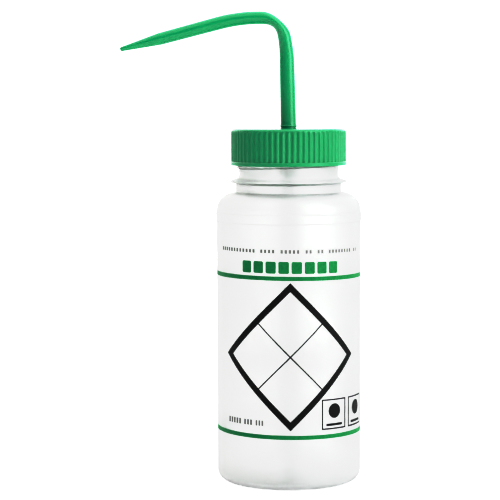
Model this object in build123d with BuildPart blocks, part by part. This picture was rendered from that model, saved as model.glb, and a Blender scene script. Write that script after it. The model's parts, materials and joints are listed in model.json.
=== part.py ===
from build123d import *
import os
from math import cos, degrees, pi, radians, sin, sqrt, tan

# Wash bottle: a blow-moulded squeeze bottle, a ribbed screw cap, a swivelling bent spout
# with its sealing disc, a seal ring and a dip tube, plus the ink printed on the wall.
# Millimetres. Z is up along the bottle's axis and the origin is the middle of the face it
# stands on. The spout points along -X and the front of the print faces -Y.

# ---- Bottle body
body_radius = 36.5
body_wall = 1.1
body_height = 138.0  # standing face to the end of the straight wall
base_corner_radius = 5.5
standing_ring_inner_radius = 27.0
push_up_height = 3.0
shoulder_share = 0.88325  # of the step in from the wall to the collar, taken by the shoulder's arc
shoulder_slope = 10.0  # degrees below level, from the collar outwards
shoulder_blend = 0.8
ring_below_shoulder = 0.7
ring_height = 4.8
ring_proud = 0.38
ring_chamfer_share = 0.6

# ---- Collar, flange and neck finish
collar_wall = 1.5  # how far each stands out past the neck
collar_height = 4.4
flange_width = 4.25
flange_thickness = 1.8
flange_taper = 1.2
neck_radius = 25.15
neck_wall = 1.95
neck_height = 21.9  # flange to rim
rim_rounding = 0.5

# ---- Screw thread, right-handed
thread_pitch = 4.23
thread_depth = 1.05
thread_root_width = 1.9
thread_crest_width = 0.9
thread_sink = 0.25  # how far a thread's root goes into the wall that carries it
thread_start_angle = 160  # just behind the side the spout points to
bottle_thread_turns = 2.0
bottle_thread_start = 6.1  # above the flange
cap_thread_turns = 1.5
cap_thread_rise = 0.5  # above the middle of the groove, as when the cap is tight

# ---- Cap
cap_height = 18.55
cap_wall = 4.05  # outside the neck, thread and clearance included
cap_top_thickness = 1.8
cap_edge_radius = 2.0
cap_bore_clearance = 0.35  # over the bottle's thread
cap_thread_clearance = 0.35  # over the neck, inside the cap's thread
rim_band_height = 2.0
rim_band_proud = 0.35
rib_count = 65
groove_radius = 1.1
groove_depth = 0.6
mouth_chamfer = 0.5

# ---- Closure stack, from the bottle's rim upwards
seat_gap = 0.05
seal_thickness = 0.95
seal_overhang = 1.0  # inside the neck bore
disc_thickness = 1.2
disc_overhang = 0.15  # past the neck

# ---- Spout
stem_neck_radius = 3.95
stem_running_clearance = 0.05
bead_above_cap = 0.75
bead_height = 1.0
bead_proud = 0.4
stem_lean = 1.2  # degrees
stem_length = 32.2
wide_bend_radius = 80.0
first_bend_angle = 8.8
elbow_radius = 12.1
elbow_angle = 79.1
last_bend_angle = 15.6
arm_length = 30.6
tip_length = 20.8
tip_rounding = 0.6

# The elbow is squashed by the bending. Sizes of the skin and the bore are half the width
# across the bend and half the depth in its plane.
stem_radius = 4.02
stem_end_radius = 3.82
elbow_start_size = (3.8, 3.42)
elbow_middle_size = (4.25, 2.65)
elbow_end_size = (3.6, 3.3)
arm_radius = 3.38
arm_end_radius = 3.14
tip_radius = 1.1
throat_radius = 2.35  # straight bore through the disc and the stem's foot
stem_bore_radius = 2.2
elbow_bore_size = (2.7, 1.35)
tip_bore_radius = 0.45

# ---- Dip tube and its socket under the disc
tube_radius = 3.2
tube_interference = 0.05
socket_wall = 1.5
socket_depth = 11.0
tube_foot_gap = 2.4  # above the bottle's floor, on the axis
tube_cut_angle = 35.0

# ---- Ink on the wall: distances are along the wall from the middle of the front, and rises
# are from the middle of the straight wall between the base corner and the raised ring
ink_thickness = 0.08
band_height = 2.1
upper_band_rise = 37.2
lower_band_rise = -41.6
title_rise = 42.6
title_height = 5.9
title_width = 50.6
title_blocks = 8
title_gap = 1.3
note_rise = 50.5
note_height = 1.8
note_width = 84.0
note_words = (12, 4, 5, 2, 2, 8, 2)  # relative lengths of the dashes
note_gap = 2.2
code_rise = -34.9
code_height = 2.7
code_start = -36.0
code_words = (9.6, 5.4, 4.8)
code_gap = 1.4
frame_rise = -1.6
frame_half_diagonal = 36.7
frame_line = 3.1
cross_line = 0.66
outline_steps = 8  # straight pieces along each edge of an outline that goes round the wall
mark_rise = -30.6
mark_size = 15.2
mark_line = 0.7
mark_centres = (23.7, 41.2)
mark_block_size = 8.0
mark_block_rise = 1.4
mark_caption_height = 1.5
mark_caption_width = 11.0
rear_blocks = (  # along the wall from the middle of the back, rise, width, tallness
    (-13.7, -12.6, 5.5, 13.8),
    (13.7, -12.6, 5.5, 13.8),
    (-24.0, 21.0, 4.0, 6.0),
    (24.0, 19.0, 6.0, 15.0),
)

# ---- Heights and radii that follow
neck_bore_radius = neck_radius - neck_wall
collar_radius = neck_radius + collar_wall
flange_radius = neck_radius + flange_width
disc_radius = neck_radius + disc_overhang
cap_radius = neck_radius + cap_wall
shoulder_radius = shoulder_share * (body_radius - collar_radius)
ring_bottom = body_height - ring_below_shoulder - ring_height
shoulder_turn = radians(90 - shoulder_slope)
shoulder_edge_r = body_radius - shoulder_radius + shoulder_radius * cos(shoulder_turn)
shoulder_edge_z = body_height + shoulder_radius * sin(shoulder_turn)
shoulder_top = shoulder_edge_z + (shoulder_edge_r - collar_radius) * tan(radians(shoulder_slope))
flange_bottom = shoulder_top + collar_height
flange_top = flange_bottom + flange_thickness
rim_z = flange_top + neck_height
floor_z = push_up_height + body_wall
wall_middle = (base_corner_radius + ring_bottom) / 2

seal_bottom = rim_z + seat_gap
disc_bottom = seal_bottom + seal_thickness + seat_gap
cap_ceiling = disc_bottom + disc_thickness + seat_gap
cap_top = cap_ceiling + cap_top_thickness
cap_bottom = cap_top - cap_height
cap_bore_radius = neck_radius + thread_depth + cap_bore_clearance
cap_thread_depth = cap_bore_radius - neck_radius - cap_thread_clearance
bottle_thread_z = flange_top + bottle_thread_start
cap_thread_z = bottle_thread_z + thread_pitch / 2 + cap_thread_rise

socket_radius = tube_radius - tube_interference
socket_bottom = disc_bottom - socket_depth
bead_bottom = cap_top + bead_above_cap
spout_foot = bead_bottom + bead_height / 2
tube_bottom = floor_z + tube_foot_gap


def body_section(inset, mouth_radius, top):
    """Half section of the bottle, drawn `inset` inside its outer face, with a straight mouth."""
    corner_centre = body_radius - base_corner_radius
    shoulder_centre = body_radius - shoulder_radius
    with BuildSketch(Plane.XZ) as section:
        with BuildLine():
            dome = TangentArc(
                (0, push_up_height + inset), (standing_ring_inner_radius, inset), tangent=(1, 0)
            )
            Line(dome @ 1, (corner_centre, inset))
            corner = CenterArc(
                (corner_centre, base_corner_radius), base_corner_radius - inset, -90, 90
            )
            shoulder = CenterArc(
                (shoulder_centre, body_height), shoulder_radius - inset, 0, 90 - shoulder_slope
            )
            Line(corner @ 1, shoulder @ 0)
            edge = shoulder @ 1
            mouth_z = edge.Y + (edge.X - mouth_radius) * tan(radians(shoulder_slope))
            Polyline(edge, (mouth_radius, mouth_z), (mouth_radius, top), (0, top), dome @ 0)
        make_face()
        fillet(section.vertices().sort_by_distance((mouth_radius, mouth_z))[0], shoulder_blend)
    return section.sketch


def thread(turns, start_z, root_radius, depth, outward):
    """Helical ridge with a tapering section; `outward` is 1 on the neck and -1 in the cap."""
    root = root_radius - outward * thread_sink
    crest = root_radius + outward * depth
    with BuildPart() as ridge:
        with BuildLine() as path:
            Helix(thread_pitch, turns * thread_pitch, root_radius, center=(0, 0, start_z))
        with BuildSketch(Plane.XZ):
            with BuildLine():
                Polyline(
                    (root, start_z - thread_root_width / 2),
                    (crest, start_z - thread_crest_width / 2),
                    (crest, start_z + thread_crest_width / 2),
                    (root, start_z + thread_root_width / 2),
                    close=True,
                )
            make_face()
        sweep(path=path.line, is_frenet=True)
    return ridge.part.rotate(Axis.Z, thread_start_angle)


# ---- Bottle: body, collar, flange and threaded neck in one moulding
with BuildPart() as bottle:
    add(body_section(0, collar_radius, flange_bottom))
    revolve(axis=Axis.Z)
    with BuildSketch(Plane.XY.offset(ring_bottom)):
        Circle(body_radius + ring_proud)
    extrude(amount=ring_height)
    ring_edges = bottle.edges().filter_by(GeomType.CIRCLE).sort_by(SortBy.RADIUS)[-2:]
    chamfer(ring_edges, ring_proud * ring_chamfer_share)
    with BuildSketch(Plane.XZ):
        with BuildLine():
            Polyline(
                (0, flange_bottom - flange_taper),
                (collar_radius, flange_bottom - flange_taper / 2),
                (flange_radius - flange_taper / 2, flange_bottom),
                (flange_radius, flange_bottom + flange_taper / 4),
                (flange_radius, flange_top),
                (neck_radius + flange_taper, flange_top),
                (neck_radius, flange_top + flange_taper),
                (neck_radius, rim_z - rim_rounding),
                (neck_radius - rim_rounding, rim_z),
                (0, rim_z),
                close=True,
            )
        make_face()
    revolve(axis=Axis.Z)
    add(thread(bottle_thread_turns, bottle_thread_z, neck_radius, thread_depth, 1))
    add(body_section(body_wall, neck_bore_radius, rim_z))
    revolve(axis=Axis.Z, mode=Mode.SUBTRACT)
bottle.part.label = "bottle"

# ---- Cap: ribbed skirt with a plain rim band, a hole for the stem and the inner thread
with BuildPart() as cap:
    with BuildSketch(Plane.XY.offset(cap_bottom)):
        Circle(cap_radius)
    extrude(amount=cap_height)
    fillet(cap.edges().sort_by(Axis.Z)[-1], cap_edge_radius)
    with BuildSketch(Plane.XY.offset(cap_bottom + rim_band_height)):
        with PolarLocations(cap_radius - groove_depth + groove_radius, rib_count):
            Circle(groove_radius)
    extrude(amount=cap_height, mode=Mode.SUBTRACT)
    with BuildSketch(Plane.XY.offset(cap_bottom)):
        Circle(cap_radius + rim_band_proud)
    extrude(amount=rim_band_height)
    with BuildSketch(Plane.XY.offset(cap_bottom)):
        Circle(cap_bore_radius)
    extrude(amount=cap_ceiling - cap_bottom, mode=Mode.SUBTRACT)
    chamfer(
        cap.edges().filter_by(GeomType.CIRCLE).group_by(Axis.Z)[0].sort_by(SortBy.RADIUS)[0],
        mouth_chamfer,
    )
    with BuildSketch(Plane.XY.offset(cap_ceiling)):
        Circle(stem_neck_radius + stem_running_clearance)
    extrude(amount=cap_top_thickness, mode=Mode.SUBTRACT)
    add(thread(cap_thread_turns, cap_thread_z, cap_bore_radius, cap_thread_depth, -1))
cap.part.label = "cap"

# ---- Seal ring between the rim and the spout's disc
with BuildPart() as seal_ring:
    with BuildSketch(Plane.XY.offset(seal_bottom)):
        Circle(neck_radius)
        Circle(neck_bore_radius - seal_overhang, mode=Mode.SUBTRACT)
    extrude(amount=seal_thickness)
seal_ring.part.label = "seal_ring"

# ---- Spout: the run of its middle line, up the stem, round the elbow and down the arm
with BuildLine(Plane.XZ) as route:
    stem_run = PolarLine((0, spout_foot), stem_length, 90 + stem_lean)
    first_bend = JernArc(stem_run @ 1, stem_run % 1, wide_bend_radius, first_bend_angle)
    elbow = JernArc(first_bend @ 1, first_bend % 1, elbow_radius, elbow_angle)
    last_bend = JernArc(elbow @ 1, elbow % 1, wide_bend_radius, last_bend_angle)
    arm_run = Line(last_bend @ 1, last_bend @ 1 + (last_bend % 1) * arm_length)
    tip_run = Line(arm_run @ 1, arm_run @ 1 + (arm_run % 1) * tip_length)

# Each run with the sizes of its skin and of its bore, evenly spaced along it.
stem_size = (stem_radius, stem_radius)
stem_end_size = (stem_end_radius, stem_end_radius)
arm_size = (arm_radius, arm_radius)
arm_end_size = (arm_end_radius, arm_end_radius)
round_bore = (stem_bore_radius, stem_bore_radius)
runs = (
    (stem_run, (stem_size, stem_end_size), (round_bore, round_bore)),
    (first_bend, (stem_end_size, elbow_start_size), (round_bore, round_bore)),
    (
        elbow,
        (elbow_start_size, elbow_middle_size, elbow_end_size),
        (round_bore, elbow_bore_size, round_bore),
    ),
    (last_bend, (elbow_end_size, arm_size), (round_bore, round_bore)),
    (arm_run, (arm_size, arm_end_size), (round_bore, round_bore)),
)


def tube_run(run, sizes):
    """Solid along one run, through the oval sections given."""
    with BuildPart() as tube:
        for number, (width, depth) in enumerate(sizes):
            at = number / (len(sizes) - 1)
            with BuildSketch(Plane(origin=run @ at, x_dir=(0, 1, 0), z_dir=run % at)):
                Ellipse(width, depth)
        sweep(path=run, multisection=True)
    return tube.part


# Half sections of the tip are drawn with their first axis down the middle of it.
tip_plane = Plane(origin=tip_run @ 0, x_dir=tip_run % 0, z_dir=(0, 1, 0))
tip_axis = Axis(tip_run @ 0, tip_run % 0)

with BuildPart() as spout:
    with BuildSketch(Plane.XZ):
        with BuildLine():
            Polyline(
                (0, socket_bottom),
                (socket_radius + socket_wall, socket_bottom),
                (socket_radius + socket_wall, disc_bottom),
                (disc_radius, disc_bottom),
                (disc_radius, disc_bottom + disc_thickness),
                (stem_neck_radius, disc_bottom + disc_thickness),
                (stem_neck_radius, bead_bottom),
            )
            ThreePointArc(
                (stem_neck_radius, bead_bottom),
                (stem_neck_radius + bead_proud, bead_bottom + bead_height / 2),
                (stem_neck_radius, bead_bottom + bead_height),
            )
            Polyline(
                (stem_neck_radius, bead_bottom + bead_height),
                (0, bead_bottom + bead_height),
                (0, socket_bottom),
            )
        make_face()
    revolve(axis=Axis.Z)
    for run, skin_sizes, _ in runs:
        add(tube_run(run, skin_sizes))
    with BuildSketch(tip_plane) as tip_section:
        with BuildLine():
            Polyline(
                (0, 0), (0, arm_end_radius), (tip_length, tip_radius), (tip_length, 0), close=True
            )
        make_face()
        fillet(tip_section.vertices().sort_by_distance((tip_length, tip_radius))[0], tip_rounding)
    revolve(axis=tip_axis)
    for run, _, bore_sizes in runs:
        add(tube_run(run, bore_sizes), mode=Mode.SUBTRACT)
    with BuildSketch(tip_plane):
        with BuildLine():
            Polyline(
                (0, 0),
                (0, stem_bore_radius),
                (tip_length, tip_bore_radius),
                (tip_length, 0),
                close=True,
            )
        make_face()
    revolve(axis=tip_axis, mode=Mode.SUBTRACT)
    with BuildSketch(Plane.XY.offset(socket_bottom)):
        Circle(throat_radius)
    extrude(amount=bead_bottom + bead_height - socket_bottom, mode=Mode.SUBTRACT)
    with BuildSketch(Plane.XY.offset(socket_bottom)):
        Circle(socket_radius)
    extrude(amount=socket_depth, mode=Mode.SUBTRACT)
spout.part.label = "spout"

# ---- Dip tube: pushed into the socket, cut on the slant at its foot
with BuildPart() as dip_tube:
    with BuildSketch(Plane.XY.offset(tube_bottom)):
        Circle(tube_radius)
        Circle(stem_bore_radius, mode=Mode.SUBTRACT)
    extrude(amount=disc_bottom - tube_bottom)
    foot_cut = Plane(origin=(tube_radius, 0, tube_bottom)).rotated((0, -tube_cut_angle, 0))
    split(bisect_by=foot_cut, keep=Keep.TOP)
dip_tube.part.label = "dip_tube"


# ---- Ink
def print_block(along, z, width, height):
    """One printed block on the wall, centred `along` the wall from the middle of the front."""
    start = -90 + degrees((along - width / 2) / body_radius)
    across_wall = Plane.XZ.rotated((0, 0, start))
    with BuildPart() as block:
        with BuildSketch(across_wall):
            with Locations((body_radius + ink_thickness / 2, z)):
                Rectangle(ink_thickness, height)
        revolve(axis=Axis.Z, revolution_arc=degrees(width / body_radius))
    return block.part


def band(z):
    """A printed line all round the wall."""
    with BuildPart() as ring:
        with BuildSketch(Plane.XY.offset(z - band_height / 2)):
            Circle(body_radius + ink_thickness)
            Circle(body_radius, mode=Mode.SUBTRACT)
        extrude(amount=band_height)
    return ring.part


def wall_points(corners):
    """Outline on the wall seen from the front, from corners given as (along, z)."""
    points = []
    for (along, z), (next_along, next_z) in zip(corners, corners[1:] + corners[:1]):
        for step in range(outline_steps):
            share = step / outline_steps
            turn = (along + (next_along - along) * share) / body_radius
            points.append((body_radius * sin(turn), z + (next_z - z) * share))
    return points


def diamond(along, z, half_diagonal):
    """Square on its corner, as an outline on the wall."""
    return wall_points(
        [
            (along + half_diagonal, z),
            (along, z + half_diagonal),
            (along - half_diagonal, z),
            (along, z - half_diagonal),
        ]
    )


def dashes(start, z, height, widths, gap):
    """A row of printed dashes that stand in for words."""
    with BuildPart() as row:
        for width in widths:
            add(print_block(start + width / 2, z, width, height))
            start += width + gap
    return row.part


upper_band_print = band(wall_middle + upper_band_rise)
upper_band_print.label = "upper_band_print"
lower_band_print = band(wall_middle + lower_band_rise)
lower_band_print.label = "lower_band_print"

# The title is a row of equal blocks where the name of the contents would be.
title_block_width = (title_width - (title_blocks - 1) * title_gap) / title_blocks
title_print = dashes(
    -title_width / 2,
    wall_middle + title_rise,
    title_height,
    [title_block_width] * title_blocks,
    title_gap,
)
title_print.label = "title_print"

note_length = note_width - note_gap * (len(note_words) - 1)
note_widths = [note_length * word / sum(note_words) for word in note_words]
fill_note_print = dashes(
    -note_width / 2, wall_middle + note_rise, note_height, note_widths, note_gap
)
fill_note_print.label = "fill_note_print"

code_print = dashes(code_start, wall_middle + code_rise, code_height, code_words, code_gap)
code_print.label = "code_print"

# A blank frame on its corner, crossed by two thin lines into four cells.
frame_z = wall_middle + frame_rise
cell_pitch = (frame_half_diagonal - frame_line * sqrt(2)) / 2
cell_half_diagonal = cell_pitch - cross_line / sqrt(2)
with BuildPart() as frame_print:
    with BuildSketch(Plane.XY.offset(frame_z - frame_half_diagonal)):
        Circle(body_radius + ink_thickness)
        Circle(body_radius, mode=Mode.SUBTRACT)
    extrude(amount=2 * frame_half_diagonal)
    with BuildSketch(Plane.XZ):
        Polygon(*diamond(0, frame_z, frame_half_diagonal), align=None)
        for along, rise in ((cell_pitch, 0), (-cell_pitch, 0), (0, cell_pitch), (0, -cell_pitch)):
            Polygon(
                *diamond(along, frame_z + rise, cell_half_diagonal), align=None, mode=Mode.SUBTRACT
            )
    extrude(amount=body_radius + 1, mode=Mode.INTERSECT)
frame_print.part.label = "frame_print"

# Two plain square frames, each with a block over a caption bar.
mark_z = wall_middle + mark_rise
side_offset = (mark_size - mark_line) / 2
with BuildPart() as marks_print:
    for centre in mark_centres:
        for side in (-1, 1):
            add(print_block(centre, mark_z + side * side_offset, mark_size, mark_line))
            add(print_block(centre + side * side_offset, mark_z, mark_line, mark_size))
        add(print_block(centre, mark_z + mark_block_rise, mark_block_size, mark_block_size))
        caption_z = mark_z - side_offset + mark_line + mark_caption_height
        add(print_block(centre, caption_z, mark_caption_width, mark_caption_height))
marks_print.part.label = "marks_print"

with BuildPart() as rear_print:
    for along, rise, width, height in rear_blocks:
        add(print_block(along + pi * body_radius, wall_middle + rise, width, height))
rear_print.part.label = "rear_print"

os.makedirs("parts", exist_ok=True)
export_step(bottle.part, "parts/bottle.step")
export_step(cap.part, "parts/cap.step")
export_step(seal_ring.part, "parts/seal_ring.step")
export_step(spout.part, "parts/spout.step")
export_step(dip_tube.part, "parts/dip_tube.step")
export_step(upper_band_print, "parts/upper_band_print.step")
export_step(lower_band_print, "parts/lower_band_print.step")
export_step(title_print, "parts/title_print.step")
export_step(fill_note_print, "parts/fill_note_print.step")
export_step(code_print, "parts/code_print.step")
export_step(frame_print.part, "parts/frame_print.step")
export_step(marks_print.part, "parts/marks_print.step")
export_step(rear_print.part, "parts/rear_print.step")
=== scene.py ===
import json
import math

import bmesh
import bpy
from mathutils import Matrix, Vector


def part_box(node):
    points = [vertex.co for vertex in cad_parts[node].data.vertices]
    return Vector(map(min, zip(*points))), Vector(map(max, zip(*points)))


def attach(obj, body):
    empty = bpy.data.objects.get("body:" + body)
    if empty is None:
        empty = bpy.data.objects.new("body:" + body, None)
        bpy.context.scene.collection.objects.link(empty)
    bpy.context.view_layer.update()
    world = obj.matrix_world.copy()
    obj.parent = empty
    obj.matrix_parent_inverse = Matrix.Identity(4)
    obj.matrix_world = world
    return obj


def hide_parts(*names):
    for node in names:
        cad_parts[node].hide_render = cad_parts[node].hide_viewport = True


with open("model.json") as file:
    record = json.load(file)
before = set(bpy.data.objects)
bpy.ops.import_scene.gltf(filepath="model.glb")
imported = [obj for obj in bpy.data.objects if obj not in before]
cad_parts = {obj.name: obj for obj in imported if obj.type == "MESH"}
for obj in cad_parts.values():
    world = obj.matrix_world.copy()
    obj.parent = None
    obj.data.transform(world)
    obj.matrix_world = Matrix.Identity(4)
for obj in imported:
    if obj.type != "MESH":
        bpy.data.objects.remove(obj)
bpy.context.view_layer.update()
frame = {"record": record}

# A wash bottle on a white studio floor. Metres, in the CAD model's frame: Z is up the
# bottle's axis, the spout points along -X and the front of the print faces -Y.

MM = 0.001


def node_box(node):
    """Lowest and highest corner of a CAD node, in millimetres."""
    low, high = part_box(node)
    return low / MM, high / MM


# ---- Sizes, in millimetres, read from the frame where it holds them
_, BOTTLE_HIGH = node_box("bottle")
CAP_LOW, CAP_HIGH = node_box("cap")
SEAL_LOW, SEAL_HIGH = node_box("seal_ring")
TUBE_LOW, TUBE_HIGH = node_box("dip_tube")
SPOUT_LOW, SPOUT_HIGH = node_box("spout")
_, BAND_HIGH = node_box("upper_band_print")

MOUNTS = {mount["name"]: mount for mount in frame["record"]["mounts"]}
BODY_R = MOUNTS["body_barrel"]["dims"]["r_mm"]
RING_PROUD = min(BOTTLE_HIGH.x, BOTTLE_HIGH.y) - BODY_R
RING_HEIGHT = 4.8
RING_TOP = 137.3
RING_SOFT = 0.35  # height of the ring's eased edges
BODY_TOP = 138.0
WALL = 1.1
BASE_CORNER = 5.5
STANDING_R = 27.0
PUSH_UP = 3.0
PUSH_UP_STEPS = 15
SHOULDER_R = 8.7
SHOULDER_SLOPE = math.radians(10.0)
THROAT_OUT, THROAT_UP = 1.0, 0.6  # reach of the soft curve from the shoulder to the collar
THROAT_STEPS = 8
COLLAR_R = 26.65
COLLAR_BEAD_Z = 148.9
COLLAR_BEAD = 0.12
COLLAR_BEAD_HALF = 0.5
FLANGE_R = 29.4
FLANGE_THICK = 1.8
FLANGE_EDGE = 0.5
# The slope from the flange up to the neck: out from the neck, and up from the flange's top.
FLANGE_SLOPE = ((2.0, 0.4), (1.0, 0.8), (0.3, 1.3), (0.0, 2.1))
NECK_HEIGHT = 21.9
NECK_R = 25.15
BORE_R = 23.2
RIM_ROUND = 0.5
RIM_Z = BOTTLE_HIGH.z
FLANGE_TOP = RIM_Z - NECK_HEIGHT
FLANGE_LOW = FLANGE_TOP - FLANGE_THICK

PITCH = 4.23
THREAD_DEPTH = 1.05
THREAD_ROOT = 1.9
THREAD_CREST = 0.9
THREAD_RUN_OUT = math.radians(18.0)
THREAD_START = math.radians(160.0)
BOTTLE_THREAD_Z = FLANGE_TOP + 6.1
BOTTLE_THREAD_TURNS = 2.0
CAP_THREAD_Z = BOTTLE_THREAD_Z + PITCH / 2 + 0.5
CAP_THREAD_TURNS = 1.5

CAP_RIM_R = CAP_HIGH.x
RIM_PROUD = 0.35
CAP_R = CAP_RIM_R - RIM_PROUD
CAP_EDGE = 2.0
CAP_TOP_THICK = 1.8
THREAD_PLAY = 0.35
CAP_BORE_R = NECK_R + THREAD_DEPTH + THREAD_PLAY
CAP_THREAD_DEPTH = CAP_BORE_R - NECK_R - THREAD_PLAY
RIM_BAND = 2.0  # height of the plain band under the grooves
RIB_COUNT = 65
RIB_STEPS = 12  # mesh steps across one rib
GROOVE_R = 1.1
GROOVE_DEPTH = 0.6
GROOVE_TOP = 0.8  # plain edge above the grooves
GROOVE_RUN_OUT = 1.0  # height over which they fade out below it

STEM_NECK_R = 3.95
STEM_GAP = 0.05
DISC_R = SPOUT_HIGH.x
DISC_THICK = 1.2
DISC_LOW = CAP_HIGH.z - CAP_TOP_THICK - STEM_GAP - DISC_THICK
SOCKET_WALL = 1.5
SOCKET_PRESS = 0.05  # how much the socket is tighter than the tube
TUBE_R = TUBE_HIGH.x
TUBE_BORE = 2.2
TUBE_CUT = math.radians(35.0)
TUBE_STEPS = 64

ON_THE_WALL = 0.01  # a profile point this near a threaded wall belongs to it

LATHE_STEPS = 256
SHARP = math.radians(38.0)
SAME_POINT = 1e-4

# The print leans a little: its left side stands higher than its right.
PRINT_LEAN = 0.012
INK_GAP = 0.01
INK_TOP = BAND_HIGH.x - BODY_R
BLOCK_STEP = 1.2  # about the width of one mesh step along a printed block
STROKE_STEPS, STROKE_ACROSS = 24, 4


# ---- Mesh tools
def arc(centre, radius, start, end, steps):
    """Points (r, z) on an arc, from the start angle to the end angle, in degrees."""
    points = []
    for step in range(steps + 1):
        angle = math.radians(start + (end - start) * step / steps)
        points.append((centre[0] + radius * math.cos(angle), centre[1] + radius * math.sin(angle)))
    return points


def between_points(first, second, share):
    """The pair of numbers at a share of the way from the first pair to the second."""
    return tuple(first[k] + (second[k] - first[k]) * share for k in range(2))


def line(start, end, steps):
    """Points on a straight run, both ends included."""
    return [between_points(start, end, step / steps) for step in range(steps + 1)]


def without_repeats(points):
    """The same outline with points that sit on the one before them left out."""
    kept = []
    for point in points:
        if not kept or math.dist(point, kept[-1]) > SAME_POINT:
            kept.append(point)
    if math.dist(kept[0], kept[-1]) <= SAME_POINT:
        kept.pop()
    return kept


def ring_mesh(rings, closed):
    """A mesh from rings of points, in millimetres. A ring of one point is a pole. Where the
    rings are closed, the last joins the first."""
    mesh = bmesh.new()
    made = [[mesh.verts.new(Vector(p) * MM) for p in ring] for ring in rings]
    pairs = list(zip(made, made[1:]))
    if closed:
        pairs.append((made[-1], made[0]))
    for lower, upper in pairs:
        count = max(len(lower), len(upper))
        for i in range(count):
            j = (i + 1) % count
            corners = []
            for ring, k in ((lower, i), (lower, j), (upper, j), (upper, i)):
                corner = ring[k % len(ring)]
                if corner not in corners:
                    corners.append(corner)
            if len(corners) > 2:
                mesh.faces.new(corners)
    bmesh.ops.recalc_face_normals(mesh, faces=mesh.faces)
    return mesh


def lathe(profile, steps=LATHE_STEPS, shape=None, closed=True):
    """Turns a profile of (r, z) points about the axis. shape(r, z, angle, index) may change
    a point's radius."""
    rings = []
    for index, (r, z) in enumerate(profile):
        if r < SAME_POINT:
            rings.append([(0, 0, z)])
            continue
        ring = []
        for step in range(steps):
            angle = 2 * math.pi * step / steps
            radius = shape(r, z, angle, index) if shape else r
            ring.append((radius * math.cos(angle), radius * math.sin(angle), z))
        rings.append(ring)
    return ring_mesh(rings, closed)


def piece(name, mesh, body, material, node):
    """Makes a finished piece from a bmesh, on a body, standing in for a CAD node."""
    data = bpy.data.meshes.new(name)
    mesh.to_mesh(data)
    mesh.free()
    for face in data.polygons:
        face.use_smooth = True
    data.set_sharp_from_angle(angle=SHARP)
    made = bpy.data.objects.new(name, data)
    bpy.context.scene.collection.objects.link(made)
    data.materials.append(material)
    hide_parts(node)
    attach(made, body)
    return made


# ---- Materials
class Shader:
    """A material with one Principled shader and short calls for its nodes."""

    def __init__(self, name, **settings):
        self.material = bpy.data.materials.new(name)
        self.material.use_nodes = True
        self.tree = self.material.node_tree
        self.surface = self.tree.nodes["Principled BSDF"]
        for socket, value in settings.items():
            self.surface.inputs[socket.replace("_", " ")].default_value = value
        self.place = self.tree.nodes.new("ShaderNodeTexCoord").outputs["Object"]

    def noise(self, scale, detail=3.0, roughness=0.5, stretch=None):
        """Noise in the piece's own space; scale is in waves per metre."""
        node = self.tree.nodes.new("ShaderNodeTexNoise")
        node.inputs["Scale"].default_value = scale
        node.inputs["Detail"].default_value = detail
        node.inputs["Roughness"].default_value = roughness
        place = self.place
        if stretch:
            mapping = self.tree.nodes.new("ShaderNodeMapping")
            mapping.inputs["Scale"].default_value = stretch
            self.tree.links.new(place, mapping.inputs["Vector"])
            place = mapping.outputs["Vector"]
        self.tree.links.new(place, node.inputs["Vector"])
        return node.outputs["Fac"]

    def between(self, factor, low, high, socket):
        """Feeds a number that runs from low to high with the factor into a socket."""
        node = self.tree.nodes.new("ShaderNodeMapRange")
        node.inputs["From Min"].default_value = 0.3
        node.inputs["From Max"].default_value = 0.7
        node.inputs["To Min"].default_value = low
        node.inputs["To Max"].default_value = high
        self.tree.links.new(factor, node.inputs["Value"])
        self.tree.links.new(node.outputs["Result"], self.surface.inputs[socket])

    def colours(self, factor, first, second):
        """Feeds a colour that runs from the first to the second with the factor."""
        node = self.tree.nodes.new("ShaderNodeValToRGB")
        for mark, place, tint in zip(node.color_ramp.elements, (0.35, 0.65), (first, second)):
            mark.position = place
            mark.color = (*tint, 1)
        self.tree.links.new(factor, node.inputs["Fac"])
        self.tree.links.new(node.outputs["Color"], self.surface.inputs["Base Color"])

    def bump(self, height, distance, strength=1.0, under=None):
        """Adds a bump of that height in metres, on top of another one."""
        node = self.tree.nodes.new("ShaderNodeBump")
        node.inputs["Strength"].default_value = strength
        node.inputs["Distance"].default_value = distance
        self.tree.links.new(height, node.inputs["Height"])
        if under:
            self.tree.links.new(under, node.inputs["Normal"])
        self.tree.links.new(node.outputs["Normal"], self.surface.inputs["Normal"])
        return node.outputs["Normal"]


HAZE_GREY = 0.5  # colour of the absorbing haze; its density is set to suit


def natural_plastic(name, tint, transmission, haze):
    """Milky polyethylene: waxy, half clear, with a faint blow-moulded waviness. The haze
    darkens what is seen along the wall, in parts lost per metre."""
    shader = Shader(name, IOR=1.5, Transmission_Weight=transmission)
    depth = shader.tree.nodes.new("ShaderNodeVolumeAbsorption")
    depth.inputs["Color"].default_value = (HAZE_GREY, HAZE_GREY, HAZE_GREY, 1)
    depth.inputs["Density"].default_value = haze / (1 - HAZE_GREY)
    output = shader.tree.nodes["Material Output"]
    shader.tree.links.new(depth.outputs["Volume"], output.inputs["Volume"])
    waves = shader.noise(45.0, detail=2.0)
    shader.colours(waves, tint, [c * 0.985 for c in tint])
    shader.between(shader.noise(160.0), 0.36, 0.44, "Roughness")
    soft = shader.bump(waves, 0.0004, 0.25)
    shader.bump(shader.noise(1400.0, detail=2.0), 0.00002, 0.4, soft)
    return shader.material


def green_plastic(name, tint, rough):
    """Glossy moulded polypropylene."""
    shader = Shader(name, IOR=1.49)
    flow = shader.noise(60.0, detail=2.0, stretch=(1, 1, 0.4))
    shader.colours(flow, tint, [c * 0.94 for c in tint])
    shader.between(shader.noise(300.0), rough, rough + 0.05, "Roughness")
    shader.bump(shader.noise(2500.0, detail=2.0), 0.000004, 0.15)
    return shader.material


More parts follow.
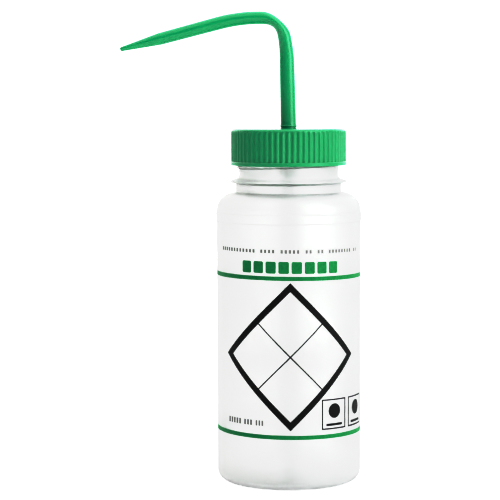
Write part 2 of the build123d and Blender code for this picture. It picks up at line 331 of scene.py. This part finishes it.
def ink(name, tint):
    """Printed ink, a little uneven where it lies thin."""
    shader = Shader(name, IOR=1.45, Specular_IOR_Level=0.2)
    mottle = shader.noise(900.0, detail=5.0, roughness=0.6)
    shader.colours(mottle, tint, [c * 1.25 + 0.001 for c in tint])
    shader.between(shader.noise(500.0), 0.42, 0.55, "Roughness")
    shader.bump(mottle, 0.00001, 0.3)
    return shader.material


def foam(name, tint):
    """Closed-cell foam of the seal."""
    shader = Shader(name)
    cells = shader.noise(1800.0, detail=4.0, roughness=0.7)
    shader.colours(cells, tint, [c * 0.85 for c in tint])
    shader.between(cells, 0.75, 0.9, "Roughness")
    shader.bump(cells, 0.0001, 0.6)
    return shader.material


BODY_PLASTIC = natural_plastic("natural_ldpe", (0.965, 0.97, 0.97), 0.9, 5.0)
TUBE_PLASTIC = natural_plastic("tube_ldpe", (0.97, 0.975, 0.975), 0.9, 5.0)
CAP_PLASTIC = green_plastic("cap_pp", (0.002, 0.31, 0.15), 0.16)
SPOUT_PLASTIC = green_plastic("spout_pp", (0.002, 0.34, 0.17), 0.16)
SEAL_FOAM = foam("seal_foam", (0.82, 0.82, 0.79))
GREEN_INK = ink("green_ink", (0.004, 0.21, 0.075))
BLACK_INK = ink("black_ink", (0.003, 0.003, 0.003))
GREY_INK = ink("grey_ink", (0.2, 0.2, 0.195))


# ---- Bottle
def thread_height(angle, z, start_z, turns):
    """How much of the thread's full depth stands at this angle and height, 0 to 1. The
    thread starts just behind the spout's side and climbs anticlockwise seen from above."""
    most = 0.0
    flank = (THREAD_ROOT - THREAD_CREST) / 2
    for turn in range(int(turns) + 2):
        run = (angle - THREAD_START) % (2 * math.pi) + 2 * math.pi * turn
        left = 2 * math.pi * turns - run
        if left < 0:
            continue
        away = abs(z - start_z - PITCH * run / (2 * math.pi))
        section = min(1.0, max(0.0, (THREAD_ROOT / 2 - away) / flank))
        most = max(most, section * min(1.0, run / THREAD_RUN_OUT, left / THREAD_RUN_OUT))
    return most


def shoulder(inset, throat_r):
    """Outline from the straight wall's top to the throat, `inset` inside the outer face."""
    centre = (BODY_R - SHOULDER_R, BODY_TOP)
    points = arc(centre, SHOULDER_R - inset, 0, 90 - math.degrees(SHOULDER_SLOPE), 24)
    edge = points[-1]
    foot_z = edge[1] + (edge[0] - throat_r) * math.tan(SHOULDER_SLOPE)
    start = (throat_r + THROAT_OUT, foot_z - THROAT_OUT * math.tan(SHOULDER_SLOPE))
    corner = (throat_r, foot_z)
    end = (throat_r, foot_z + THROAT_UP)
    for step in range(1, THROAT_STEPS):
        share = step / THROAT_STEPS
        shares = ((1 - share) ** 2, 2 * share * (1 - share), share**2)
        points.append(
            tuple(shares[0] * start[k] + shares[1] * corner[k] + shares[2] * end[k] for k in range(2))
        )
    return points


def base(inset):
    """Outline from the axis along the push-up, the standing ring and the base corner."""
    points = []
    for step in range(PUSH_UP_STEPS + 1):
        share = step / PUSH_UP_STEPS
        points.append((STANDING_R * share, inset + PUSH_UP * (1 - share**2)))
    corner = (BODY_R - BASE_CORNER, BASE_CORNER)
    return points + arc(corner, BASE_CORNER - inset, -90, 0, 14)


def fill_ring():
    """The raised ring under the shoulder, with soft edges."""
    low, high = RING_TOP - RING_HEIGHT, RING_TOP
    outer = BODY_R + RING_PROUD
    return (
        [(BODY_R, low - 0.1)]
        + line((BODY_R, low), (outer, low + RING_SOFT), 4)
        + line((outer, low + RING_SOFT), (outer, high - RING_SOFT), 6)
        + line((outer, high - RING_SOFT), (BODY_R, high), 4)
        + [(BODY_R, high + 0.1)]
    )


def flange():
    """The flange's outline: nearly flat below, a round edge, and a long slope up to the
    neck."""
    middle = FLANGE_LOW + FLANGE_THICK * 0.6
    return (
        [(COLLAR_R, FLANGE_LOW - 0.3), (COLLAR_R + 0.3, FLANGE_LOW + 0.1)]
        + [(FLANGE_R - FLANGE_EDGE - 0.3, middle - FLANGE_EDGE)]
        + arc((FLANGE_R - FLANGE_EDGE, middle), FLANGE_EDGE, -90, 75, 6)
        + [(NECK_R + out, FLANGE_TOP + up) for out, up in FLANGE_SLOPE]
    )


def bottle_profile():
    """The bottle's closed half section, up the outside and down the inside."""
    bead = [
        (COLLAR_R, COLLAR_BEAD_Z - COLLAR_BEAD_HALF),
        (COLLAR_R + COLLAR_BEAD, COLLAR_BEAD_Z),
        (COLLAR_R, COLLAR_BEAD_Z + COLLAR_BEAD_HALF),
    ]
    thread_low = BOTTLE_THREAD_Z - THREAD_ROOT
    thread_high = BOTTLE_THREAD_Z + BOTTLE_THREAD_TURNS * PITCH + THREAD_ROOT
    outside = (
        base(0)
        + line((BODY_R, BASE_CORNER + 1), (BODY_R, RING_TOP - RING_HEIGHT - 1), 30)
        + fill_ring()
        + shoulder(0, COLLAR_R)
        + bead
        + flange()
        + line((NECK_R, thread_low), (NECK_R, thread_high), 72)
        + [(NECK_R, RIM_Z - RIM_ROUND)]
        + arc((NECK_R - RIM_ROUND, RIM_Z - RIM_ROUND), RIM_ROUND, 0, 90, 5)
    )
    inside = (
        base(WALL)
        + line((BODY_R - WALL, BASE_CORNER + 1), (BODY_R - WALL, BODY_TOP - 1), 30)
        + shoulder(WALL, BORE_R)
        + [(BORE_R, RIM_Z - RIM_ROUND), (BORE_R + RIM_ROUND * 0.4, RIM_Z)]
    )
    return without_repeats(outside + inside[::-1])


def bottle_shape(r, z, angle, index):
    """Adds the thread to the neck's outside, above the flange's slope."""
    if abs(r - NECK_R) < ON_THE_WALL and z > FLANGE_TOP + 3:
        return r + THREAD_DEPTH * thread_height(angle, z, BOTTLE_THREAD_Z, BOTTLE_THREAD_TURNS)
    return r


def make_bottle():
    """The hollow body, from push-up base to threaded neck. The profile starts and ends on
    the axis, so it isn't joined up there."""
    mesh = lathe(bottle_profile(), shape=bottle_shape, closed=False)
    return piece("bottle_shell", mesh, "bottle", BODY_PLASTIC, "bottle")


# ---- Cap
def groove_radius(angle):
    """Radius of the grooves' surface at an angle; large on a rib's crest."""
    pitch = 2 * math.pi / RIB_COUNT
    away = (angle + pitch / 2) % pitch - pitch / 2
    centre = CAP_R - GROOVE_DEPTH + GROOVE_R
    across = GROOVE_R**2 - (centre * math.sin(away)) ** 2
    if across <= 0:
        return CAP_R + 1
    return centre * math.cos(away) - math.sqrt(across)


def cap_profile():
    """The cap's closed section, from the stem's hole over the top, down the skirt and back
    up the bore, in two parts: what the grooves may cut, and the rest."""
    top, low = CAP_HIGH.z, CAP_LOW.z
    hole = STEM_NECK_R + STEM_GAP
    ceiling = top - CAP_TOP_THICK
    shelf = low + RIM_BAND
    soft = 0.3
    ribbed = (
        [(hole, top - soft), (hole + 0.2, top), (10, top), (20, top)]
        + arc((CAP_R - CAP_EDGE, top - CAP_EDGE), CAP_EDGE, 90, 0, 12)
        + line((CAP_R, top - CAP_EDGE - 0.5), (CAP_R, shelf + 0.05), 14)
    )
    thread_high = CAP_THREAD_Z + CAP_THREAD_TURNS * PITCH + THREAD_ROOT
    rest = (
        [(CAP_RIM_R - soft, shelf), (CAP_RIM_R, shelf - soft), (CAP_RIM_R, low + soft)]
        + [(CAP_RIM_R - soft, low), (CAP_BORE_R + 0.5, low), (CAP_BORE_R, low + 0.5)]
        + line((CAP_BORE_R, low + 0.55), (CAP_BORE_R, thread_high), 56)
        + [(CAP_BORE_R, ceiling - 0.4), (CAP_BORE_R - 0.4, ceiling), (10, ceiling), (hole, ceiling)]
    )
    return without_repeats(ribbed), rest


def make_cap():
    """Ribbed screw cap."""
    ribbed, rest = cap_profile()

    def shape(r, z, angle, index):
        if index < len(ribbed):
            depth = min(1.0, max(0.0, (CAP_HIGH.z - GROOVE_TOP - z) / GROOVE_RUN_OUT))
            return min(r, CAP_R - (CAP_R - groove_radius(angle)) * depth)
        if abs(r - CAP_BORE_R) < ON_THE_WALL:
            return r - CAP_THREAD_DEPTH * thread_height(angle, z, CAP_THREAD_Z, CAP_THREAD_TURNS)
        return r

    mesh = lathe(ribbed + rest, RIB_COUNT * RIB_STEPS, shape)
    return piece("cap_shell", mesh, "cap", CAP_PLASTIC, "cap")


# ---- Spout
BEAD_ABOVE_CAP, BEAD_HEIGHT, BEAD_PROUD = 0.75, 1.0, 0.4
BEAD_Z = CAP_HIGH.z + BEAD_ABOVE_CAP + BEAD_HEIGHT / 2
STEM_LEAN = 1.2
ROUND_BORE = (2.2, 2.2)
# Each run is a length, or a bend's radius and angle, then its sections, evenly spaced: half
# the width across the bend and half the depth in its plane, for the skin and the bore.
SPOUT_RUNS = (
    (32.2, 20, ((4.02, 4.02), (3.82, 3.82)), (ROUND_BORE, ROUND_BORE)),
    ((80.0, 8.8), 14, ((3.82, 3.82), (3.8, 3.42)), (ROUND_BORE, ROUND_BORE)),
    (
        (12.1, 79.1),
        36,
        ((3.8, 3.42), (4.25, 2.65), (3.6, 3.3)),
        (ROUND_BORE, (2.7, 1.35), ROUND_BORE),
    ),
    ((80.0, 15.6), 18, ((3.6, 3.3), (3.38, 3.38)), (ROUND_BORE, ROUND_BORE)),
    (30.6, 16, ((3.38, 3.38), (3.14, 3.14)), (ROUND_BORE, ROUND_BORE)),
    (20.8, 22, ((3.14, 3.14), (1.1, 1.1)), (ROUND_BORE, (0.45, 0.45))),
)
TIP_ROUND = 0.62
SPOUT_STEPS = 64


def between_sections(sections, share):
    """Half width and half depth at a share of a run, eased from one section to the next."""
    place = share * (len(sections) - 1)
    number = min(int(place), len(sections) - 2)
    ease = place - number
    if len(sections) > 2:
        ease = (1 - math.cos(math.pi * ease)) / 2
    first, second = sections[number], sections[number + 1]
    return between_points(first, second, ease)


def along_run(place, run, share):
    """Where a share of a run, straight or bent, leads from a place: x, z and heading."""
    x, z, heading = place
    if isinstance(run, tuple):
        radius, bend = run
        turned = heading + math.radians(bend) * share
        return (
            x - radius * (math.cos(heading) - math.cos(turned)),
            z - radius * (math.sin(heading) - math.sin(turned)),
            turned,
        )
    return (x - math.sin(heading) * run * share, z + math.cos(heading) * run * share, heading)


def spout_route():
    """Stations down the middle of the spout: where, as x, z and the heading from +Z towards
    -X, then the skin's size and the bore's."""
    place = (0.0, BEAD_Z, math.radians(STEM_LEAN))
    stations = []
    for run, steps, skins, bores in SPOUT_RUNS:
        for share in (step / steps for step in range(steps)):
            at = along_run(place, run, share)
            stations.append((at, between_sections(skins, share), between_sections(bores, share)))
        place = along_run(place, run, 1.0)
    return stations + [(place, skins[-1], bores[-1])]


def tilted_ring(place, size, ahead=0.0):
    """A ring square to the spout's heading, a little ahead along it."""
    x, z, heading = place
    width, depth = size
    x -= math.sin(heading) * ahead
    z += math.cos(heading) * ahead
    ring = []
    for step in range(SPOUT_STEPS):
        angle = 2 * math.pi * step / SPOUT_STEPS
        out = depth * math.cos(angle)
        ring.append(
            (x + out * math.cos(heading), width * math.sin(angle), z + out * math.sin(heading))
        )
    return ring


def level_ring(z, radius):
    """A round, level ring on the axis."""
    return tilted_ring((0, z, 0), (radius, radius))


def make_spout():
    """Sealing disc, socket, snap bead and the bent, bored nozzle, as one closed skin."""
    disc_top = DISC_LOW + DISC_THICK
    socket_low = SPOUT_LOW.z
    socket_r = TUBE_R - SOCKET_PRESS
    foot = [
        (socket_low + 0.3, socket_r),
        (socket_low, socket_r + 0.3),
        (socket_low, socket_r + SOCKET_WALL - 0.3),
        (socket_low + 0.3, socket_r + SOCKET_WALL),
        (DISC_LOW - 0.4, socket_r + SOCKET_WALL),
        (DISC_LOW, socket_r + SOCKET_WALL + 0.4),
        (DISC_LOW, DISC_R - 0.2),
        (DISC_LOW + 0.2, DISC_R),
        (disc_top - 0.2, DISC_R),
        (disc_top, DISC_R - 0.2),
        (disc_top, STEM_NECK_R + 0.01),
        (disc_top + 0.05, STEM_NECK_R),
        (BEAD_Z - BEAD_HEIGHT / 2, STEM_NECK_R),
    ]
    for angle in (-60, -35, -10, 15, 40, 65):
        turn = math.radians(angle)
        rise = BEAD_HEIGHT / 2 * math.sin(turn)
        foot.append((BEAD_Z + rise, STEM_NECK_R + BEAD_PROUD * math.cos(turn)))
    stations = spout_route()
    rings = [level_ring(*point) for point in foot]
    rings += [tilted_ring(place, skin) for place, skin, _ in stations[1:-1]]
    end, tip_size, _ = stations[-1]
    tip_r = tip_size[0]
    for angle in (0, 22, 45, 68, 90):
        turn = math.radians(angle)
        radius = tip_r - TIP_ROUND * (1 - math.cos(turn))
        rings.append(tilted_ring(end, (radius, radius), -TIP_ROUND * (1 - math.sin(turn))))
    rings += [tilted_ring(place, bore) for place, _, bore in stations[::-1]]
    rings += [level_ring(DISC_LOW, ROUND_BORE[0]), level_ring(DISC_LOW - 0.02, socket_r)]
    mesh = ring_mesh(rings, closed=True)
    return piece("spout_moulding", mesh, "spout", SPOUT_PLASTIC, "spout")


# ---- Seal and dip tube
def make_seal():
    """Foam ring with eased edges. It reaches a little inside the neck's bore."""
    low, high = SEAL_LOW.z, SEAL_HIGH.z
    inner, outer, soft = BORE_R - 1.0, SEAL_HIGH.x, 0.2
    profile = [
        (inner + soft, low),
        (outer - soft, low),
        (outer, low + soft),
        (outer, high - soft),
        (outer - soft, high),
        (inner + soft, high),
        (inner, high - soft),
        (inner, low + soft),
    ]
    return piece("seal", lathe(profile, 128), "seal", SEAL_FOAM, "seal_ring")


def make_tube():
    """Dip tube, cut on the slant at its foot."""
    top, low = TUBE_HIGH.z, TUBE_LOW.z
    slope = math.tan(TUBE_CUT)

    def around(radius):
        angles = [2 * math.pi * step / TUBE_STEPS for step in range(TUBE_STEPS)]
        return [(radius * math.cos(angle), radius * math.sin(angle)) for angle in angles]

    def foot(radius):
        return [(x, y, low + (TUBE_R - x) * slope) for x, y in around(radius)]

    def level(radius, z):
        return [(x, y, z) for x, y in around(radius)]

    heights = [z for _, z in line((0, low + 12), (0, top), 20)]
    rings = [foot(TUBE_BORE), foot(TUBE_R)]
    rings += [level(TUBE_R, z) for z in heights]
    rings += [level(TUBE_BORE, z) for z in heights[::-1]]
    mesh = ring_mesh(rings, closed=True)
    return piece("dip_tube_cut", mesh, "spout", TUBE_PLASTIC, "dip_tube")


# ---- Print: closed, thin layers that follow the wall
def on_wall(along, z, proud):
    """A point on the wall; along is measured round it from the middle of the front."""
    turn = along / BODY_R
    radius = BODY_R + proud
    x, y = radius * math.sin(turn), -radius * math.cos(turn)
    return (x, y, z - PRINT_LEAN * x)


def add_strip(mesh, lower, upper, across=1):
    """A closed thin layer between two rows of (along, z) points of the same count, with
    that many steps across it."""
    rows = []
    for step in range(across + 1):
        rows.append([between_points(a, b, step / across) for a, b in zip(lower, upper)])
    # Over the outer face from the lower row to the upper one, then back over the inner face.
    loop = [(row, INK_TOP) for row in rows] + [(row, INK_GAP) for row in rows[::-1]]
    lines = [
        [mesh.verts.new(Vector(on_wall(a, z, proud)) * MM) for a, z in row] for row, proud in loop
    ]
    for near, far in zip(lines, lines[1:] + lines[:1]):
        for i in range(len(lower) - 1):
            mesh.faces.new((near[i], near[i + 1], far[i + 1], far[i]))
    for i in (0, -1):
        for step in range(across):
            corners = (lines[step], lines[step + 1], lines[-2 - step], lines[-1 - step])
            mesh.faces.new([row[i] for row in corners])


def add_block(mesh, along, z, width, height, corner=0.0):
    """A printed block, with its corners cut back if asked."""
    half, steps = width / 2, max(2, round(width / BLOCK_STEP))
    lower, upper = [], []
    for step in range(steps + 1):
        at = -half + width * step / steps
        if corner and step in (0, steps):
            lower.append((along + at, z - height / 2 + corner))
            upper.append((along + at, z + height / 2 - corner))
            near = at + corner * (1 if step == 0 else -1)
            spot = 1 if step == 0 else len(lower) - 1
            lower.insert(spot, (along + near, z - height / 2))
            upper.insert(spot, (along + near, z + height / 2))
        else:
            lower.append((along + at, z - height / 2))
            upper.append((along + at, z + height / 2))
    add_strip(mesh, lower, upper)


def add_stroke(mesh, a, b, c, d):
    """A straight stroke with corners a, b on one long edge and d, c on the other, cut up so
    that it follows the round wall."""
    add_strip(mesh, line(a, b, STROKE_STEPS), line(d, c, STROKE_STEPS), STROKE_ACROSS)


def add_dash(mesh, start, z, unit, count, height):
    """A dash of evenly spaced upright strokes, one in each unit of its length."""
    for number in range(count):
        add_block(mesh, start + unit * (number + 0.5), z, unit * STROKE_SHARE, height)


def finish_print(name, mesh, material, node):
    """Makes the layers of one print into its piece."""
    bmesh.ops.recalc_face_normals(mesh, faces=mesh.faces)
    return piece(name, mesh, "bottle", material, node)


def make_band(name, node):
    """A green line right round the wall."""
    low, high = node_box(node)
    profile = [
        (BODY_R + INK_GAP, low.z),
        (BODY_R + INK_TOP, low.z),
        (BODY_R + INK_TOP, high.z),
        (BODY_R + INK_GAP, high.z),
    ]
    mesh = lathe(profile)
    for vert in mesh.verts:
        vert.co.z -= PRINT_LEAN * vert.co.x
    return piece(name, mesh, "bottle", GREEN_INK, node)


# Heights of the print's middles above the floor, then sizes, then gaps.
TITLE_Z, TITLE_HEIGHT, TITLE_WIDTH, TITLE_BLOCKS, TITLE_GAP = 111.6, 5.9, 50.6, 8, 1.3
BLOCK_CORNER = 0.5
NOTE_Z, NOTE_HEIGHT, NOTE_WIDTH, NOTE_GAP = 119.5, 1.8, 84.0, 2.2
NOTE_WORDS = (12, 4, 5, 2, 2, 8, 2)  # strokes in each dash
CODE_Z, CODE_HEIGHT, CODE_START, CODE_GAP = 34.1, 2.7, -36.0, 1.4
CODE_WORDS = ((9.6, 5), (5.4, 3), (4.8, 3))  # width of each dash and its strokes
STROKE_SHARE = 0.6  # how much of its place a stroke of a dash fills
FRAME_Z, FRAME_HALF, FRAME_LINE, CROSS_LINE = 67.4, 36.7, 3.1, 0.66
MARK_Z, MARK_SIZE, MARK_LINE, MARK_CENTRES = 38.4, 15.2, 0.7, (23.7, 41.2)
DOT_R, DOT_RISE, DOT_STEPS, DOT_END = 3.7, 1.6, 16, 0.15
CAPTION_WIDTH, CAPTION_HEIGHT, CAPTION_RISE = 10.0, 1.2, 1.3
# Round the wall from the middle of the back, height, then width and height of the block.
REAR_BLOCKS = (
    (-13.7, 56.4, 5.5, 13.8),
    (13.7, 56.4, 5.5, 13.8),
    (-24.0, 90.0, 4.0, 6.0),
    (24.0, 88.0, 6.0, 15.0),
)


def make_title():
    """A row of plain green blocks where the large name would be."""
    mesh = bmesh.new()
    width = (TITLE_WIDTH - (TITLE_BLOCKS - 1) * TITLE_GAP) / TITLE_BLOCKS
    for number in range(TITLE_BLOCKS):
        along = -TITLE_WIDTH / 2 + width / 2 + number * (width + TITLE_GAP)
        add_block(mesh, along, TITLE_Z, width, TITLE_HEIGHT, BLOCK_CORNER)
    return finish_print("title_blocks", mesh, GREEN_INK, "title_print")


def make_note():
    """Grey dashes, cut into short strokes, where the line of small print would be."""
    mesh = bmesh.new()
    unit = (NOTE_WIDTH - NOTE_GAP * (len(NOTE_WORDS) - 1)) / sum(NOTE_WORDS)
    start = -NOTE_WIDTH / 2
    for count in NOTE_WORDS:
        add_dash(mesh, start, NOTE_Z, unit, count, NOTE_HEIGHT)
        start += unit * count + NOTE_GAP
    return finish_print("note_dashes", mesh, GREY_INK, "fill_note_print")


def make_code():
    """Three shorter grey dashes at the lower left."""
    mesh = bmesh.new()
    start = CODE_START
    for width, count in CODE_WORDS:
        add_dash(mesh, start, CODE_Z, width / count, count, CODE_HEIGHT)
        start += width + CODE_GAP
    return finish_print("code_dashes", mesh, GREY_INK, "code_print")


def make_frame():
    """Blank square frame on its corner, crossed by two thin lines."""
    mesh = bmesh.new()
    inner = FRAME_HALF - FRAME_LINE * math.sqrt(2)
    ways = ((1, 0), (0, 1), (-1, 0), (0, -1))
    for first, second in zip(ways, ways[1:] + ways[:1]):
        corners = ((FRAME_HALF, first), (FRAME_HALF, second), (inner, second), (inner, first))
        add_stroke(mesh, *[(size * x, FRAME_Z + size * z) for size, (x, z) in corners])
    reach, half = inner / 2, CROSS_LINE / 2 / math.sqrt(2)
    # One line runs right across; the other is two pieces that stop at its edges.
    for x, z, start in ((1, 1, -reach), (1, -1, half), (-1, 1, half)):
        side = (-z * half, x * half)
        corners = ((start, 1), (reach, 1), (reach, -1), (start, -1))
        add_stroke(
            mesh,
            *[(x * at + side[0] * way, FRAME_Z + z * at + side[1] * way) for at, way in corners],
        )
    return finish_print("frame_lines", mesh, BLACK_INK, "frame_print")


def make_marks():
    """Two plain square frames, each with a round dot over a caption bar."""
    mesh = bmesh.new()
    off = (MARK_SIZE - MARK_LINE) / 2
    for centre in MARK_CENTRES:
        for side in (-1, 1):
            add_block(mesh, centre, MARK_Z + side * off, MARK_SIZE, MARK_LINE)
            add_block(mesh, centre + side * off, MARK_Z, MARK_LINE, MARK_SIZE - 2 * MARK_LINE)
        lower, upper = [], []
        for step in range(DOT_STEPS + 1):
            angle = math.pi * (1 - step / DOT_STEPS)
            reach, rise = DOT_R * math.cos(angle), max(DOT_END, DOT_R * math.sin(angle))
            lower.append((centre + reach, MARK_Z + DOT_RISE - rise))
            upper.append((centre + reach, MARK_Z + DOT_RISE + rise))
        add_strip(mesh, lower, upper)
        caption_z = MARK_Z - off + MARK_LINE + CAPTION_RISE
        add_block(mesh, centre, caption_z, CAPTION_WIDTH, CAPTION_HEIGHT)
    return finish_print("mark_frames", mesh, BLACK_INK, "marks_print")


def make_rear():
    """Four plain dark blocks on the back."""
    mesh = bmesh.new()
    for along, z, width, height in REAR_BLOCKS:
        add_block(mesh, along + math.pi * BODY_R, z, width, height, BLOCK_CORNER)
    return finish_print("rear_blocks", mesh, BLACK_INK, "rear_print")


make_bottle()
make_cap()
make_spout()
make_seal()
make_tube()
make_band("upper_band", "upper_band_print")
make_band("lower_band", "lower_band_print")
make_title()
make_note()
make_code()
make_frame()
make_marks()
make_rear()


# ---- Studio
def make_floor():
    """A pale floor that glows: white where the camera sees it, fainter in its light on the
    object."""
    mesh = bmesh.new()
    bmesh.ops.create_grid(mesh, x_segments=2, y_segments=2, size=FLOOR_HALF)
    data = bpy.data.meshes.new("floor")
    mesh.to_mesh(data)
    mesh.free()
    floor = bpy.data.objects.new("floor", data)
    bpy.context.scene.collection.objects.link(floor)
    shader = Shader("white_floor", Roughness=0.9, Base_Color=FLOOR_TINT)
    shader.surface.inputs["Emission Color"].default_value = WHITE
    seen = shader.tree.nodes.new("ShaderNodeLightPath").outputs["Is Camera Ray"]
    glow = math_node(shader.tree, "MAXIMUM", seen, FLOOR_GLOW)
    shader.tree.links.new(glow, shader.surface.inputs["Emission Strength"])
    data.materials.append(shader.material)


# Light round the studio at eye height: degrees clockwise from straight behind the object,
# seen from above, and brightness.
ROUND_THE_STUDIO = (
    (-180, 0.08),
    (-150, 0.1),
    (-115, 0.14),
    (-85, 0.2),
    (-62, 0.7),
    (-45, 1.9),
    (45, 1.9),
    (62, 0.9),
    (85, 0.4),
    (100, 0.9),
    (112, 4.8),
    (136, 4.8),
    (148, 0.5),
    (180, 0.08),
)
# The same light's share by height: the sine of the elevation, and a share.
UP_THE_STUDIO = ((-1.0, 0.5), (-0.1, 0.8), (0.1, 1.0), (0.55, 1.0), (0.75, 0.4), (1.0, 0.3))
# Light from above, by the same sine.
OVERHEAD = ((0.6, 0.0), (0.75, 1.6))
# Tint of all this light at the far left and the far right.
WARM_LEFT, COOL_RIGHT = (1.0, 0.985, 0.93), (0.965, 0.985, 1.0)
WHITE = (1, 1, 1, 1)
FLOOR_HALF = 6.0
FLOOR_TINT = (0.6, 0.6, 0.6, 1)
FLOOR_GLOW = 0.3
BRIGHTEST = 5.0  # the ramps hold shares of this


def light_ramp(tree, value, stops, low, high):
    """Brightness along a line of stops, as a socket."""
    spread = tree.nodes.new("ShaderNodeMapRange")
    spread.inputs["From Min"].default_value = low
    spread.inputs["From Max"].default_value = high
    tree.links.new(value, spread.inputs["Value"])
    ramp = tree.nodes.new("ShaderNodeValToRGB")
    marks = ramp.color_ramp.elements
    while len(marks) < len(stops):
        marks.new(0.5)
    for mark, (place, level) in zip(marks, stops):
        mark.position = (place - low) / (high - low)
        mark.color = (*[level / BRIGHTEST] * 3, 1)
    tree.links.new(spread.outputs["Result"], ramp.inputs["Fac"])
    return ramp.outputs["Color"]


def math_node(tree, operation, *values):
    """The result of one sum on numbers or sockets, as a socket."""
    node = tree.nodes.new("ShaderNodeMath")
    node.operation = operation
    for socket, value in zip(node.inputs, values):
        if isinstance(value, (int, float)):
            socket.default_value = value
        else:
            tree.links.new(value, socket)
    return node.outputs["Value"]


def make_world():
    """White wherever the camera looks. For everything else, a lit backdrop behind the
    object, dark sides, a soft light to the right of the camera and one overhead, warmer on
    the left and cooler on the right."""
    world = bpy.data.worlds.new("studio")
    bpy.context.scene.world = world
    world.use_nodes = True
    tree = world.node_tree
    way = tree.nodes.new("ShaderNodeTexCoord").outputs["Generated"]
    split = tree.nodes.new("ShaderNodeSeparateXYZ")
    tree.links.new(way, split.inputs["Vector"])
    around = math_node(tree, "ARCTAN2", split.outputs["X"], split.outputs["Y"])
    stops = [(math.radians(angle), level) for angle, level in ROUND_THE_STUDIO]
    side = light_ramp(tree, around, stops, -math.pi, math.pi)
    height = light_ramp(tree, split.outputs["Z"], UP_THE_STUDIO, -1.0, 1.0)
    light = math_node(tree, "MULTIPLY", side, height)
    light = math_node(tree, "MULTIPLY", light, BRIGHTEST)
    top = light_ramp(tree, split.outputs["Z"], OVERHEAD, -1.0, 1.0)
    light = math_node(tree, "ADD", light, top)
    light = math_node(tree, "MULTIPLY", light, BRIGHTEST)
    seen = tree.nodes.new("ShaderNodeLightPath").outputs["Is Camera Ray"]
    light = math_node(tree, "MAXIMUM", light, seen)
    background = tree.nodes["Background"]
    warmth = tree.nodes.new("ShaderNodeValToRGB")
    for mark, tint in zip(warmth.color_ramp.elements, (WARM_LEFT, COOL_RIGHT)):
        mark.color = (*tint, 1)
    across = tree.nodes.new("ShaderNodeMapRange")
    across.inputs["From Min"].default_value = -1.0
    tree.links.new(split.outputs["X"], across.inputs["Value"])
    tree.links.new(across.outputs["Result"], warmth.inputs["Fac"])
    seen_white = tree.nodes.new("ShaderNodeMix")
    seen_white.data_type = "RGBA"
    seen_white.inputs["B"].default_value = WHITE
    tree.links.new(seen, seen_white.inputs["Factor"])
    tree.links.new(warmth.outputs["Color"], seen_white.inputs["A"])
    tree.links.new(seen_white.outputs["Result"], background.inputs["Color"])
    tree.links.new(light, background.inputs["Strength"])


CAMERA_PLACE = (-0.01943, -0.931, 0.1942)
CAMERA_TILT = 0.0822
CAMERA_ROLL = 0.0034
CAMERA_LENS, CAMERA_SENSOR = 132.1, 36.0


def make_camera():
    """A long lens a little above the object, looking slightly down."""
    data = bpy.data.cameras.new("camera")
    data.lens = CAMERA_LENS
    data.sensor_width = CAMERA_SENSOR
    data.clip_start, data.clip_end = 0.01, 20.0
    camera = bpy.data.objects.new("camera", data)
    camera.location = CAMERA_PLACE
    camera.rotation_euler = (math.pi / 2 - CAMERA_TILT, CAMERA_ROLL, 0)
    bpy.context.scene.collection.objects.link(camera)
    bpy.context.scene.camera = camera


# Points of the picture's tone curve: deeper darks and a flat, bright top.
TONES = ((0.25, 0.14), (0.475, 0.5), (0.66, 0.82), (0.85, 0.89), (0.97, 0.96))


def set_tones():
    """Puts the tone curve on the picture as a whole."""
    view = bpy.context.scene.view_settings
    view.view_transform = "Standard"
    view.use_curve_mapping = True
    curve = view.curve_mapping.curves[3]  # the one for all three colours together
    for place, level in TONES:
        curve.points.new(place, level)
    view.curve_mapping.update()


make_floor()
make_world()
make_camera()
set_tones()
